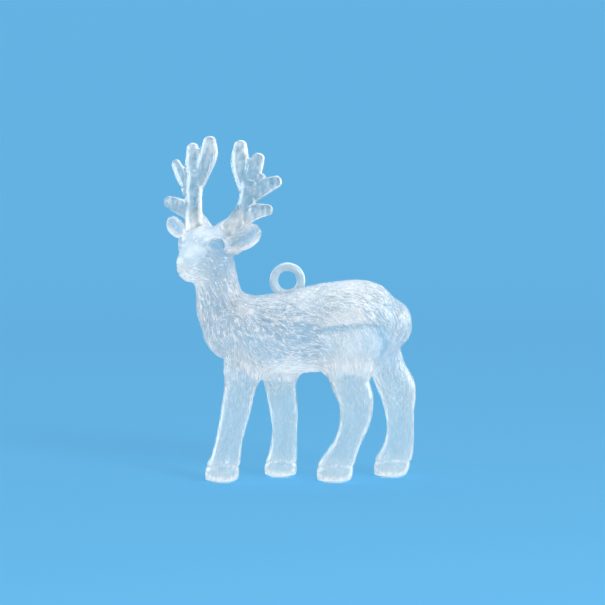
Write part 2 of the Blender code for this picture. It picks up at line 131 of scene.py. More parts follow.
# Each leg from inside the trunk down to the sole, and the height of its joint with the body
LEGS = {
    "leg_front_left": (30.0, [
        (-10.0, -5.5, 45.0, 8.5, 6.0),
        (-13.6, -7.2, 36.0, 7.0, 5.2),
        (-15.1, -8.0, 29.7, 5.1, 4.4),
        (-16.7, -8.6, 21.5, 4.7, 4.1),
        (-18.4, -9.0, 14.0, 4.3, 3.7),
        (-19.7, -9.3, 7.2, 4.8, 4.1),
        (-20.8, -9.5, 3.0, 5.5, 4.7),
        (-20.6, -9.5, -0.6, 4.0, 3.4),
    ]),
    "leg_front_right": (28.5, [
        (-4.0, 4.5, 45.2, 7.5, 6.0),
        (-3.2, 6.8, 35.3, 6.1, 5.0),
        (-2.5, 8.0, 28.4, 5.0, 4.4),
        (-1.4, 8.5, 20.0, 4.5, 4.0),
        (-1.3, 8.8, 14.2, 4.1, 3.6),
        (-1.9, 9.0, 6.8, 4.7, 4.1),
        (-2.7, 9.2, 2.9, 5.3, 4.7),
        (-3.0, 9.2, -0.6, 3.9, 3.4),
    ]),
    "leg_rear_left": (32.0, [
        (23.0, -5.5, 51.0, 11.5, 8.0),
        (21.5, -7.3, 41.5, 9.6, 6.8),
        (19.0, -8.4, 33.3, 6.6, 5.5),
        (21.1, -8.9, 26.0, 5.6, 4.6),
        (20.8, -9.1, 19.2, 4.9, 4.1),
        (18.6, -9.3, 12.8, 4.2, 3.9),
        (16.0, -9.4, 7.2, 5.1, 4.3),
        (14.4, -9.5, 3.2, 5.8, 4.8),
        (14.4, -9.5, -0.6, 4.3, 3.6),
    ]),
    "leg_rear_right": (32.5, [
        (26.5, 5.0, 51.2, 11.0, 8.0),
        (28.2, 7.0, 42.3, 7.6, 6.5),
        (31.7, 8.2, 34.0, 5.9, 5.4),
        (34.5, 8.7, 28.4, 6.1, 4.8),
        (35.3, 8.9, 21.0, 4.8, 4.1),
        (35.6, 9.0, 15.0, 4.5, 3.8),
        (34.6, 9.1, 8.3, 5.2, 4.3),
        (32.6, 9.2, 3.3, 5.7, 4.8),
        (32.8, 9.2, -0.6, 4.2, 3.6),
    ]),
}
# How far to the front and the back of a leg its own piece may reach
LEG_MARGIN = 3
# The rounded top of each leg's clear plastic, seen in the frosted skin: how far its edge lies below the
# joint, and how far it rises
LEG_TOP_DROP = 0.5
LEG_TOP_RISE = 2.4
# Heights on every leg, each with its reach: the lip of the hoof, which carries a painted highlight, the
# groove over it, and the fetlock's tuft; and the height over which the hoof's forms give way to the
# leg's
HOOF_LIP = (1.3, 0.9)
HOOF_GROOVE = (4.4, 0.6)
FETLOCK = (6.0, 1.3)
HOOF_TOP = (6, 8)

# Forms of the head, as (left, forward, up) of its middle, then half sizes the same way round
CRANIUM = [(0, 0, 0), (9.2, 8.3, 6.2)]
JAW = [(-0.2, 2.0, -5.8), (8.7, 6.3, 6.2)]
MUZZLE = [(0, 1, -3.0, 8.2, 6.8), (-0.3, 6.5, -5.2, 6.4, 6.0), (-0.5, 9.6, -6.5, 4.4, 4.8)]

# Each ear: its root and the way it points, in the head's terms, and its half length and half width
EARS = {
    "left": ((9.5, 0.2, 0.5), (0.86, -0.12, 0.48), 5.8, 3.8),
    "right": ((-8.8, 0.0, 3.8), (-0.80, -0.20, 0.55), 4.7, 2.9),
}
EAR_THICKNESS = 1.35
EAR_SINK = 0.6
# The cup in an ear: how far its middle is sunk, and its share of the ear's half length and half width
CUP_SINK = 0.4
CUP_SHARE = (0.86, 0.6)

# The eye, drawn in the plane that it faces as (forward, up) of its middle: its sizes and its lids
EYE_OUTWARD = np.array((0.8, 0.6, 0))
EYE_FORWARD = np.array((-0.6, 0.8, 0))
EYE_MIDDLE = (-0.2, 0.4)
EYE_SOCKET = (3.2, 2.3)
EYE_BALL = (1.3, 1.0)
UPPER_LID = [(-3.2, 0.4), (-1.6, 2.0), (0.8, 2.5), (3.2, 1.3)]
LOWER_LID = [(-2.4, -0.9), (-0.4, -1.8), (1.8, -1.6), (3.2, -0.4)]

# Lines on both sides of the face, as (left, forward, up) of the head, half width, and height: the tear
# line, the nostril, the mouth and the edge of the jaw
FACE_LINES = [
    ([(5.2, 7.0, -0.8), (4.9, 7.9, -2.4)], 0.55, -0.4),
    ([(2.0, 13.2, -4.4), (2.9, 12.6, -4.0)], 0.5, -0.25),
    ([(0, 14.2, -8.0), (2.8, 12.6, -8.4), (4.4, 10.0, -8.2), (5.6, 7.6, -7.4)], 0.5, -0.4),
    ([(8.4, 1.6, -9.5), (6.6, 5.6, -11), (3.0, 8.6, -12)], 1.0, 0.3),
]
# The edge between the front and the side of the muzzle, and the hollow of the cheek behind it
MUZZLE_EDGE = [(4.4, 8.2, 1.2), (4.3, 9.4, -1.5), (3.9, 11.4, -3.6)]
CHEEK = ((6.8, 8.0, -3.2), (2.0, 2.4, 2.0))
# The side of the face lies in shade, and its front a little: a middle, the reach, and how dark
FACE_SHADE = [
    ((9.0, 2.5, -1.5), (3.0, 5.5, 6.5), 0.28),
    ((2.0, 9.5, -2.5), (3.6, 5.0, 8.0), 0.12),
]
# The nose: the line that parts the lip below it, and its pad
PHILTRUM = [(0, 14.2, -5.0), (0, 14.0, -8.0)]
NOSE_PAD = ((0, 13.6, -4.6), (2.6, 2.0, 1.4))

# Each antler as branches of (x, z, radius); the first branch is the beam, from its foot in the crown,
# which lies a little behind the head's middle
ANTLER_BACK = 1.2
ANTLER_LEAN = 0.36
ANTLER_FOOT = 79.0
ANTLER_TIPS = (96, 106)
ANTLER_FLATNESS = 0.78
ANTLERS = {
    "antler_right": [
        [
            (-29.3, 78.9, 3.7),
            (-29.9, 82.6, 3.2),
            (-29.9, 87.3, 2.9),
            (-29.9, 92.2, 3.0),
            (-29.2, 95.8, 3.3),
        ],
        [(-28.8, 93.5, 2.6), (-26.8, 98.6, 3.0), (-25.3, 102.8, 3.1), (-25.1, 107.0, 2.3)],
        [(-30.0, 95.0, 2.6), (-30.3, 100.0, 2.8), (-30.6, 105.0, 2.1)],
        [(-31.0, 91.0, 2.3), (-33.8, 95.8, 2.3), (-36.0, 99.9, 1.7)],
        [(-30.8, 84.3, 2.7), (-35.0, 86.5, 2.6), (-38.3, 87.8, 1.9)],
    ],
    "antler_left": [
        [
            (-18.2, 78.4, 3.7),
            (-16.1, 81.3, 3.3),
            (-14.0, 84.8, 3.0),
            (-12.7, 88.7, 3.0),
            (-12.3, 93.0, 3.3),
        ],
        [(-13.2, 91.3, 2.6), (-14.9, 97.2, 3.0), (-15.3, 101.4, 3.1), (-15.2, 105.6, 2.3)],
        [(-12.3, 93.0, 2.8), (-10.8, 97.8, 2.9), (-9.3, 101.7, 2.1)],
        [(-11.6, 89.9, 2.7), (-7.2, 92.6, 2.6), (-3.3, 94.2, 1.9)],
        [(-13.0, 83.5, 2.8), (-9.4, 84.9, 2.4), (-6.0, 85.3, 1.8)],
    ],
}

# The thin webs between an antler's points, in the same form
WEB_THICKNESS = 1.7
WEBS = {
    "antler_right": [
        [(-28.0, 96.0, 2.0), (-27.9, 100.0, 2.0), (-28.1, 103.4, 1.6)],
        [(-32.3, 90.5, 1.4), (-33.0, 93.5, 1.2)],
    ],
    "antler_left": [
        [(-12.9, 94.0, 2.0), (-12.7, 97.5, 2.0), (-12.5, 100.2, 1.6)],
        [(-9.4, 94.0, 1.8), (-8.2, 95.4, 1.4)],
    ],
}

# The tuft that each antler stands in: how far along the beam, half width and half depth; and how far
# behind the beam it lies
TUFT = [(-4.5, 6.4, 4.6), (-1.0, 5.8, 3.2), (2.0, 4.6, 2.0), (4.5, 3.4, 1.2), (7.0, 2.2, 0.6)]
TUFT_BEHIND = 1.2

# The coat in the side view: a place (x, z), the way the hair points, how deep it is, and how frosted
COAT = [
    (-27, 56, 0.1, -1.0, 0.8, 0.50), (-24, 62, 0.2, -1.0, 0.8, 0.42), (-18, 61, 0.5, -0.9, 1.0, 0.62),
    (-21, 50, 0.2, -1.0, 0.8, 0.45), (-26, 48, 0.2, -1.0, 0.7, 0.45), (-14, 55, 0.8, -0.6, 1.0, 0.60),
    (-12, 48, 0.6, -0.8, 1.0, 0.45), (-10, 42, 0.5, -0.9, 0.5, 0.50), (-16, 40, 0.1, -1.0, 0.6, 0.45),
    (-16, 34, 0.0, -1.0, 0.5, 0.55), (-6, 58, 1.0, -0.1, 0.7, 0.65), (6, 59, 1.0, -0.1, 0.8, 0.75),
    (18, 61, 1.0, -0.2, 0.8, 0.80), (28, 58, 0.8, -0.6, 0.9, 0.65), (-4, 51, 1.0, -0.3, 1.0, 0.35),
    (5, 47, 1.0, -0.2, 0.8, 0.32), (-2, 42, 0.9, -0.4, 0.7, 0.35), (6, 40, 1.0, -0.1, 0.8, 0.42),
    (0, 35, 1.0, 0.0, 0.9, 0.85), (8, 35, 1.0, 0.0, 0.9, 0.90), (12, 55, 0.9, -0.4, 1.0, 0.60),
    (19, 54, 0.85, -0.5, 1.0, 0.90), (26, 50, 0.6, -0.8, 0.6, 0.45), (14, 46, 0.7, -0.7, 0.5, 0.75),
    (20, 44, 0.3, -1.0, 0.3, 0.85), (26, 44, 0.2, -1.0, 0.3, 0.60), (17, 37, 0.1, -1.0, 0.3, 0.75),
    (22, 36, 0.0, -1.0, 0.3, 0.65), (34, 54, 0.5, -0.9, 0.7, 0.45), (37, 49, 0.0, -1.0, 0.5, 0.45),
    (33, 42, 0.0, -1.0, 0.5, 0.42), (32, 36, 0.2, -1.0, 0.5, 0.45), (-3, 31, 0.0, -1.0, 0.5, 0.70),
    (-15, 28, -0.1, -1.0, 0.2, 0.30), (-17, 20, -0.1, -1.0, 0.1, 0.28), (-19, 10, -0.2, -1.0, 0.1, 0.30),
    (-2, 24, 0.0, -1.0, 0.1, 0.30), (-1, 15, 0.0, -1.0, 0.1, 0.28), (-2, 8, 0.0, -1.0, 0.1, 0.32),
    (20, 28, 0.1, -1.0, 0.2, 0.40), (21, 20, -0.1, -1.0, 0.1, 0.34), (16, 9, -0.4, -0.9, 0.1, 0.34),
    (34, 28, 0.2, -1.0, 0.3, 0.34), (36, 18, 0.0, -1.0, 0.1, 0.30), (34, 8, -0.2, -1.0, 0.1, 0.34),
    (-31, 70, 0.3, 0.9, 0.1, 0.82), (-33, 65, 0.7, -0.7, 0.8, 0.90), (-28, 63, 0.8, -0.6, 0.9, 0.85),
    (-27, 73, 0.3, 0.9, 0.2, 0.82), (-22, 67, 0.85, -0.5, 0.9, 0.28), (-18, 70, 0.9, -0.3, 0.6, 0.22),
    (-21, 74, 0.9, -0.3, 0.2, 0.22), (-24, 68, 0.8, -0.4, 0.8, 0.35), (-29, 78, 0.3, 0.9, 0.35, 0.82),
    (-22, 79, 0.6, 0.8, 0.35, 0.65), (-13, 77, 0.9, 0.4, 0.3, 0.58), (-32, 80, -0.5, 0.8, 0.3, 0.50),
    (-19, 64, 0.6, -0.8, 0.8, 0.35),
]
COAT_BLUR = 5

# The pitch and the length of the fine hairs and of the broader locks, and what each of the two adds to
# the relief, to the frost and to the tone; the tone they add is painted highlight where the hair stands
# out and painted shade in the grooves between
HAIR = (0.46, 2.8)
LOCKS = (0.95, 4.0)
HAIR_RELIEF = (0.07, 0.035)
HAIR_FROST = (0.08, 0.05)
HAIR_TONE = (0.15, 0.03)
# How light the coat is, how frosted the clear legs are and how much darker, and how much more frosted
# their hooves
COAT_TONE = 0.78
LEG_FROST = 0.50
LEG_SHADE = 0.1
HOOF_FROST = 0.12
# How far the painted sheen and shade, and the painted light and shade of the relief, show in the frost
SHEEN_FROST = 0.5
RELIEF_FROST = 0.3

# Muscles and hollows, on both sides: a place (x, |y|, z), its reach along each axis, and its height
FORMS = [
    ((20, 11.5, 43.5), (8.5, 6, 7.5), 0.9),
    ((19, 11, 54), (8, 5, 2.6), 0.4),
    ((8.5, 12, 42), (3, 6, 6), -0.7),
    ((-12, 10.5, 48), (6, 6, 8), 0.5),
    ((-3.5, 12, 45), (3, 6, 7), -0.35),
    ((-9.5, 9, 37), (2.5, 6, 4), -0.4),
    ((28, 11, 45), (2.5, 6, 8), -0.5),
    ((33, 4, 50), (5, 2.2, 6), -0.4),
]

# Furrows on both sides: points (x, |y|, z), half width, and depth, which is below 0 for a roll of skin
FURROWS = [
    ([(9.5, 12.5, 47.2), (14, 12.6, 48.0), (20, 12.6, 48.8), (27, 12, 49.0)], 0.9, 1.0),
    ([(12, 12.5, 50.4), (17, 12.6, 51.2), (25, 12.3, 51.2)], 1.6, -0.75),
    ([(-15, 9, 59), (-11, 10.5, 54), (-8, 11.5, 49)], 1.4, 0.35),
    ([(29.6, 11, 48), (30, 10.5, 42), (28.5, 9.5, 37.5)], 1.7, 0.6),
    ([(10.8, 11.5, 44), (11.4, 11, 40), (13, 10, 36.5)], 1.5, 0.35),
]
FURROW_SHADE = 0.55

# Painted highlights on the coat, or painted shade where the strength is below 0: side-view lines of
# (x, z), half width, and strength
SHEEN_AND_SHADE = [
    ([(-33, 66.0), (-30.5, 63.2), (-27, 61.0)], 1.0, 1.10),
    ([(-27.4, 61.5), (-27.8, 58)], 0.9, 0.9),
    ([(-27.6, 60), (-27.8, 54), (-26, 46), (-21, 38)], 0.8, 0.30),
    ([(-15, 53.4), (-8, 52.6), (-1, 52.0), (6, 51.0)], 1.2, 0.35),
    ([(15, 51.8), (20.5, 53.2), (26, 51.6)], 2.0, 0.65),
    ([(-13, 36), (-8.5, 33.2), (-4, 35), (1, 33)], 1.7, 0.65),
    ([(0, 34.8), (5, 34.4), (9, 34.4), (14, 36.5)], 1.1, 1.10),
    ([(14.5, 36), (20, 37.5), (26, 36)], 2.2, 0.35),
    ([(26.3, 48.7), (29.8, 46), (30.4, 41.5), (27.7, 37.5)], 1.3, -0.36),
    ([(11, 48.2), (16, 49.0), (22, 49.3), (27, 49.0)], 0.6, -0.50),
    ([(-19, 71.5), (-16.5, 70), (-16.0, 66)], 0.7, 0.60),
    ([(25.5, 36), (28, 32), (30, 26)], 1.1, 0.75),
    ([(-21, 60), (-17, 60.5), (-14, 57)], 2.2, 0.30),
    ([(-16, 72), (-17, 67), (-15.5, 62)], 0.8, 0.35),
]

# The plastics. The colours are the two ends of the tone: the darker holds the painted shade of the
# hollows and the plastic's own darker tone, the lighter the painted highlight of the raised places and
# its own lighter tone. The clearness and the roughness each run from one value to another: the
# clearness as the frost thickens, the roughness with the grain, whose depth comes next
SKIN_PLASTIC = {
    "colours": ((0.72, 0.92, 1.0), (1.0, 1.0, 1.0)),
    "ior": 1.43,
    "clearness": (0.88, 0.22),
    "roughness": (0.17, 0.262),
    "grain_depth": 0.02,
    "furry": True,
}
ANTLER_PLASTIC = {
    "colours": ((0.50, 0.66, 0.70), (1.0, 1.0, 1.0)),
    "ior": 1.46,
    "clearness": (0.95, 0.25),
    "roughness": (0.10, 0.26),
    "grain_depth": 0.01,
    "furry": False,
}
RING_PLASTIC = {
    "colours": ((0.55, 0.72, 0.80), (0.80, 0.92, 0.98)),
    "ior": 1.46,
    "clearness": (0.5, 0.2),
    "roughness": (0.14, 0.25),
    "grain_depth": 0.01,
    "furry": False,
}
GRAIN_SCALE = 1400
GRAIN_DETAIL = 3
COAT_WEIGHT = 0.5
COAT_ROUGHNESS = 0.10

# How much less rough the clear legs are than the body, and the colour that their plastic is tinted with
LEG_GLOSS = 0.05
LEG_TINT = (0.98, 0.96, 0.925)

# The finest hairs, in the material: how many to the metre, how far they are drawn out and in how many
# directions, how sharply each direction gives way to the next, how wide and how deep they are, and what
# they add about their mean to the tone, as painted highlights along the hairs, and to the frost
STRAND_SCALE = 2000
STRAND_STRETCH = 6
STRAND_DIRECTIONS = 6
STRAND_FOCUS = 3
STRAND_WIDTH = 0.09
STRAND_DEPTH = 0.2
STRAND_MEAN = 0.25
STRAND_TONE = 0.9
STRAND_FROST = 0.9

# The sweep, in metres: the radius of its floor, the radius of the curve up to its wall, and its height
SWEEP_FLOOR = 1.1
SWEEP_COVE = 0.5
SWEEP_HEIGHT = 1.8
COVE_STEPS = 16
SWEEP_SIDES = 96
SWEEP_BLUE = (0.135, 0.465, 0.785, 1)
SWEEP_GLOW = 0.23
SKY_COLOUR = (0.97, 0.98, 1.0, 1)
SKY_STRENGTH = 0.7

# Softboxes: name, place and width in metres, power in watts, and whether they light the floor as well
LIGHTS = [
    ("key", (0.45, -1.0, 0.35), 0.3, 3.8, True),
    ("top", (0.0, 0.15, 0.9), 0.9, 6.2, False),
    ("under", (0.0, 0.1, -0.6), 1.4, 10.5, False),
    ("rim_left", (-0.8, 0.25, 0.3), 0.5, 3.5, False),
    ("rim_right", (0.8, 0.3, 0.3), 0.5, 5.5, False),
]
LIGHT_COLOUR = (0.94, 0.97, 1.0)
LIGHT_AIM = Vector((0, 0, 0.05))

# The camera: what it looks at in millimetres, how far off in metres, how far above, and its lens
CAMERA_AIM = Vector((4.41, 0, 56.0))
CAMERA_DISTANCE = 1.0
CAMERA_RISE = math.radians(2.0)
CAMERA_LENS = 188.8
CAMERA_SENSOR = 36


def through(rows, steps=8):
    """Points on a smooth curve through rows of numbers, each row included."""
    rows = [Vector(row) for row in rows]
    rows = [2 * rows[0] - rows[1], *rows, 2 * rows[-1] - rows[-2]]
    found = []
    for a, b, c, d in zip(rows, rows[1:], rows[2:], rows[3:]):
        for step in range(steps):
            t = step / steps
            bend = (2 * a - 5 * b + 4 * c - d) * t**2 + (3 * b - a - 3 * c + d) * t**3
            found.append(b + ((c - a) * t + bend) / 2)
    found.append(rows[-2])
    return found


def add_loft(bm, stations, depth_axis=(0, 1, 0), cap=0.8):
    """Add a closed tube of elliptical sections along the stations, with rounded ends."""
    rows = through(stations)
    spots = [Vector(row[:3]) for row in rows]
    aims = [(b - a).normalized() for a, b in zip(spots, spots[1:])]
    aims = [aims[0], *((a + b).normalized() for a, b in zip(aims, aims[1:])), aims[-1]]
    sections = [(s, t, r[3], r[4]) for s, t, r in zip(spots, aims, rows)]

    def rounded(section, sign):
        spot, aim, width, depth = section
        reach = cap * min(width, depth)
        angles = [math.pi / 2 * i / CAP_STEPS for i in range(1, CAP_STEPS)]
        return [
            (spot + sign * aim * reach * math.sin(a), aim, width * math.cos(a), depth * math.cos(a))
            for a in angles
        ], spot + sign * aim * reach

    start, first = rounded(sections[0], -1)
    end, last = rounded(sections[-1], 1)
    rings = []
    turns = [2 * math.pi * i / LOFT_SIDES for i in range(LOFT_SIDES)]
    for spot, aim, width, depth in [*reversed(start), *sections, *end]:
        deep = Vector(depth_axis)
        deep = (deep - aim * deep.dot(aim)).normalized()
        wide = deep.cross(aim)
        places = [spot + wide * width * math.cos(a) + deep * depth * math.sin(a) for a in turns]
        rings.append([bm.verts.new(place) for place in places])
    for low, high in zip(rings, rings[1:]):
        for i in range(LOFT_SIDES):
            j = (i + 1) % LOFT_SIDES
            bm.faces.new((low[i], high[i], high[j], low[j]))
    for tip, ring in ((first, rings[0]), (last, rings[-1])):
        middle = bm.verts.new(tip)
        for i in range(LOFT_SIDES):
            j = (i + 1) % LOFT_SIDES
            corners = (middle, ring[i], ring[j])
            bm.faces.new(corners if ring is rings[0] else corners[::-1])


def add_ball(bm, centre, radii, axes=(Vector((1, 0, 0)), Vector((0, 1, 0)), UP)):
    """Add an ellipsoid whose radii lie along the given axes."""
    turn = Matrix([axis * r for axis, r in zip(axes, radii)]).transposed().to_4x4()
    place = Matrix.Translation(centre) @ turn
    bmesh.ops.create_uvsphere(bm, u_segments=BALL_SIDES, v_segments=BALL_ROWS, radius=1, matrix=place)


def of_head(left, forward, up):
    """A direction or an offset given in the head's own terms."""
    return LEFTWARD * left + FORWARD * forward + UP * up


def ear_axes(aim):
    """The ways along an ear, across it and out of its front."""
    along = of_head(*aim).normalized()
    front = (FORWARD - along * FORWARD.dot(along)).normalized()
    return along, front.cross(along), front


def antler_depth(x, z):
    """The y of an antler's point, from its place in the side view and the head's turn."""
    back = max(0.0, ANTLER_LEAN * (z - ANTLER_FOOT))
    across = (x - HEAD.x - back * math.cos(HEAD_TURN)) / math.sin(HEAD_TURN)
    return HEAD.y + ANTLER_BACK - across * math.cos(HEAD_TURN) + back * math.sin(HEAD_TURN)


def seam_shift():
    """Where the stag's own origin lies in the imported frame, from the hanging ring."""
    low, high = (Vector(corner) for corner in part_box("hanging_ring"))
    middle = (low + high) / 2
    return Vector((middle.x - RING.x * MM, middle.y - RING.y * MM, 0))


def noise(points, pitch, seed):
    """Smooth random values from 0 to 1 in space, with features about one pitch across."""
    size = 32
    table = np.random.default_rng(seed).random((size, size, size))
    at = points / pitch
    cell = np.floor(at).astype(int)
    part = at - cell
    part = part * part * (3 - 2 * part)
    value = np.zeros(len(points))
    for corner in np.ndindex(2, 2, 2):
        index = (cell + corner) % size
        share = np.prod(np.where(corner, part, 1 - part), axis=1)
        value += share * table[index[:, 0], index[:, 1], index[:, 2]]
    return value


def streaks(points, along, pitch, reach, seed):
    """Random values drawn out along the hair, with mean 0 and deviation 1."""
    steps = 7
    total = np.zeros(len(points))
    for step in range(-steps, steps + 1):
        share = 1 - abs(step) / (steps + 2)
        total += share * noise(points + along * (step * reach / (2 * steps)), pitch, seed)
    return (total - total.mean()) / total.std()


def fade(values, start, end):
    """0 at start and 1 at end, smooth between."""
    t = np.clip((values - start) / (end - start), 0, 1)
    return t * t * (3 - 2 * t)


def bell(values, centre, width):
    """1 at the centre, falling smoothly to 0 past the width on either side."""
    return np.exp(-(((values - centre) / width) ** 2))


def blob(points, centre, reach):
    """1 at the centre, falling smoothly to 0 past its reach along each axis."""
    return np.exp(-np.sum(((points - np.array(centre)) / np.array(reach)) ** 2, axis=1))


def oval(flat, half_sizes):
    """1 inside an oval round the origin, falling quickly to 0 past its edge."""
    return np.exp(-(np.sum((flat / np.array(half_sizes)) ** 2, axis=1) ** 2))


def line_distance(points, line):
    """How far each point is from a polyline."""
    found = np.full(len(points), np.inf)
    for a, b in zip(line, line[1:]):
        a, b = np.array(a), np.array(b)
        along = np.clip((points - a) @ (b - a) / ((b - a) @ (b - a)), 0, 1)
        found = np.minimum(found, np.linalg.norm(points - a - along[:, None] * (b - a), axis=1))
    return found


def ridge(points, line, width):
    """1 on the line, falling smoothly to 0 past its half width."""
    return bell(line_distance(points, line), 0, width)


def unit(rows):
    """The rows as vectors of length 1."""
    return rows / (np.linalg.norm(rows, axis=1, keepdims=True) + 1e-9)


def coat(points):
    """The lie of the hair, its depth and its frosting at each place, from the entries of COAT."""
    rows = np.array(COAT)
    away = (points[:, None, 0] - rows[:, 0]) ** 2 + (points[:, None, 2] - rows[:, 1]) ** 2
    share = 1 / (away + COAT_BLUR) ** 2
    share /= share.sum(axis=1, keepdims=True)
    lie = np.zeros_like(points)
    lie[:, 0] = share @ rows[:, 2]
    lie[:, 2] = share @ rows[:, 3]
    return unit(lie), share @ rows[:, 4], share @ rows[:, 5]


class Skin:
    """A fused surface whose points can be pushed in and out.

    Its tone is the painted light and shade that the relief leaves at each point.
    """

    def __init__(self, name, bm):
        bmesh.ops.recalc_face_normals(bm, faces=bm.faces)
        self.obj = bpy.data.objects.new(name, to_mesh(bm, name))
        bpy.context.scene.collection.objects.link(self.obj)
        self.read()

    def read(self):
        """Take the points and the normals from the mesh."""
        mesh = self.obj.data
        self.points = np.empty(len(mesh.vertices) * 3)
        mesh.vertices.foreach_get("co", self.points)
        self.points = self.points.reshape(-1, 3)
        normals = np.empty(len(mesh.vertices) * 3, np.float32)
        mesh.vertices.foreach_get("normal", normals)
        self.normals = normals.reshape(-1, 3).astype(float)

    def bake(self):
        """Apply the modifiers, and start the tone afresh."""
        graph = bpy.context.evaluated_depsgraph_get()
        old = self.obj.data
        mesh = bpy.data.meshes.new_from_object(self.obj.evaluated_get(graph))
        self.obj.modifiers.clear()
        self.obj.vertex_groups.clear()
        self.obj.data = mesh
        bpy.data.meshes.remove(old)
        self.read()
        self.tone = np.zeros(len(self.points))

    def fuse(self, voxel, rounds):
        """Make one closed surface of all the forms, and smooth it."""
        remesh = self.obj.modifiers.new("Fuse", "REMESH")
        remesh.mode = "VOXEL"
        remesh.voxel_size = voxel
        self.smooth(rounds)

    def smooth(self, rounds, weights=None):
        """Smooth the surface; given weights, each point only as far as its weight."""
        smooth = self.obj.modifiers.new("Smooth", "SMOOTH")
        smooth.factor = 0.5
        smooth.iterations = rounds
        if weights is not None:
            group = self.obj.vertex_groups.new(name="smooth")
            for level in range(1, 11):
                chosen = np.flatnonzero(np.round(weights * 10) == level)
                group.add(chosen.tolist(), level / 10, "REPLACE")
            smooth.vertex_group = group.name
        self.bake()

    def push(self, amounts):
        """Move each point along its normal by its amount."""
        self.points += self.normals * amounts[:, None]
        self.obj.data.vertices.foreach_set("co", self.points.ravel())
        self.obj.data.update()
        self.read()

    def paint(self, name, values):
        """Keep a value for each point, for the material to read."""
        kind, key = ("FLOAT", "value") if values.ndim == 1 else ("FLOAT_VECTOR", "vector")
        layer = self.obj.data.attributes.new(name, kind, "POINT")
        layer.data.foreach_set(key, values.astype(np.float32).ravel())

    def remove(self):
        """Take the surface out of the scene, and hand back its mesh."""
        mesh = self.obj.data
        bpy.data.objects.remove(self.obj)
        return mesh


def to_mesh(bm, name):
    """Turn a bmesh into a mesh, and free it."""
    mesh = bpy.data.meshes.new(name)
    bm.to_mesh(mesh)
    bm.free()
    return mesh


def shade_smooth(mesh):
    """Show the mesh without facets."""
    mesh.polygons.foreach_set("use_smooth", [True] * len(mesh.polygons))


def place_piece(name, mesh, slot, materials, *nodes):
    """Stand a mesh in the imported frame, in metres, in place of the named CAD nodes."""
    mesh.name = name
    mesh.transform(Matrix.Translation(seam_shift()) @ Matrix.Scale(MM, 4))
    for material in materials:
        mesh.materials.append(material)
    shade_smooth(mesh)
    mesh.update()
    obj = bpy.data.objects.new(name, mesh)
    bpy.context.scene.collection.objects.link(obj)
    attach(obj, "root")
    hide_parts(*nodes)


def body_forms():
    """The trunk, neck, head, tail, ears and legs as closed forms that run into each other."""
    bm = bmesh.new()
    for limb in (TRUNK, NECK, TAIL):
        add_loft(bm, limb)
    add_ball(bm, *CHEST)
    for _, stations in LEGS.values():
        add_loft(bm, stations, cap=BLUNT)
    for corner in CORNERS:
        add_ball(bm, *corner)
    for offset, radii in (CRANIUM, JAW):
        add_ball(bm, HEAD + of_head(*offset), radii, HEAD_AXES)
    add_loft(bm, [(*(HEAD + of_head(*row[:3])), *row[3:]) for row in MUZZLE], depth_axis=UP)
    for branches in ANTLERS.values():
        foot, above = (Vector((x, antler_depth(x, z), z)) for x, z, _ in branches[0][:2])
        rise = (above - foot).normalized()
        behind = foot - FORWARD * TUFT_BEHIND
        add_loft(bm, [(*(behind + rise * far), w, d) for far, w, d in TUFT], FORWARD, cap=0.3)
    for root, aim, half_length, half_width in EARS.values():
        along, wide, front = ear_axes(aim)
        middle = HEAD + of_head(*root) + along * (half_length - EAR_SINK)
        add_ball(bm, middle, (half_length, half_width, EAR_THICKNESS), (along, wide, front))
    return bm


def fillets(points):
    """How far each point lies in one of the wide soft corners."""
    near = np.zeros(len(points))
    for centre, reach in FILLETS:
        near = np.maximum(near, blob(points, centre, reach))
    return near


def sculpt_forms(skin):
    """Muscles, hollows and furrows, the same on both sides."""
    sided = np.abs(skin.points) * (0, 1, 0) + skin.points * (1, 0, 1)
    amounts = np.zeros(len(sided))
    for centre, reach, high in FORMS:
        amounts += high * blob(sided, centre, reach)
    for line, width, deep in FURROWS:
        groove = ridge(sided, line, width)
        amounts -= deep * groove
        # Painted shade in each furrow, and painted highlight on each roll of skin
        skin.tone -= FURROW_SHADE * deep * groove
    skin.push(amounts)


def sculpt_ears(skin):
    """Cup each ear: a hollow along its front, with painted shade down its middle, and a rim round it
    with a painted highlight that is strongest below.
    """
    amounts = np.zeros(len(skin.points))
    for root, aim, half_length, half_width in EARS.values():
        along, wide, front = (np.array(axis) for axis in ear_axes(aim))
        middle = np.array(HEAD + of_head(*root)) + along * (half_length - CUP_SINK)
        part = skin.points - middle
        far = (part @ along) / (CUP_SHARE[0] * half_length)
        aside = (part @ wide) / (CUP_SHARE[1] * half_width)
        inside = far**2 + aside**2
        near = (inside < 6) & (np.abs(part @ front) < 3)
        cup = fade(skin.normals @ front, 0.2, 0.7) * np.exp(-(inside**1.5)) * near
        rim = bell(np.sqrt(inside), 1.35, 0.3) * near
        lower = fade(-part[:, 2], -0.5, 1.5)
        amounts -= 1.2 * cup - 0.3 * rim
        # Painted highlight on the rim, strongest below, and painted shade down the middle of the cup
        skin.tone += (0.3 + 1.4 * lower) * rim - 0.6 * bell(part @ wide, 0, 0.9) * cup
    skin.push(amounts)


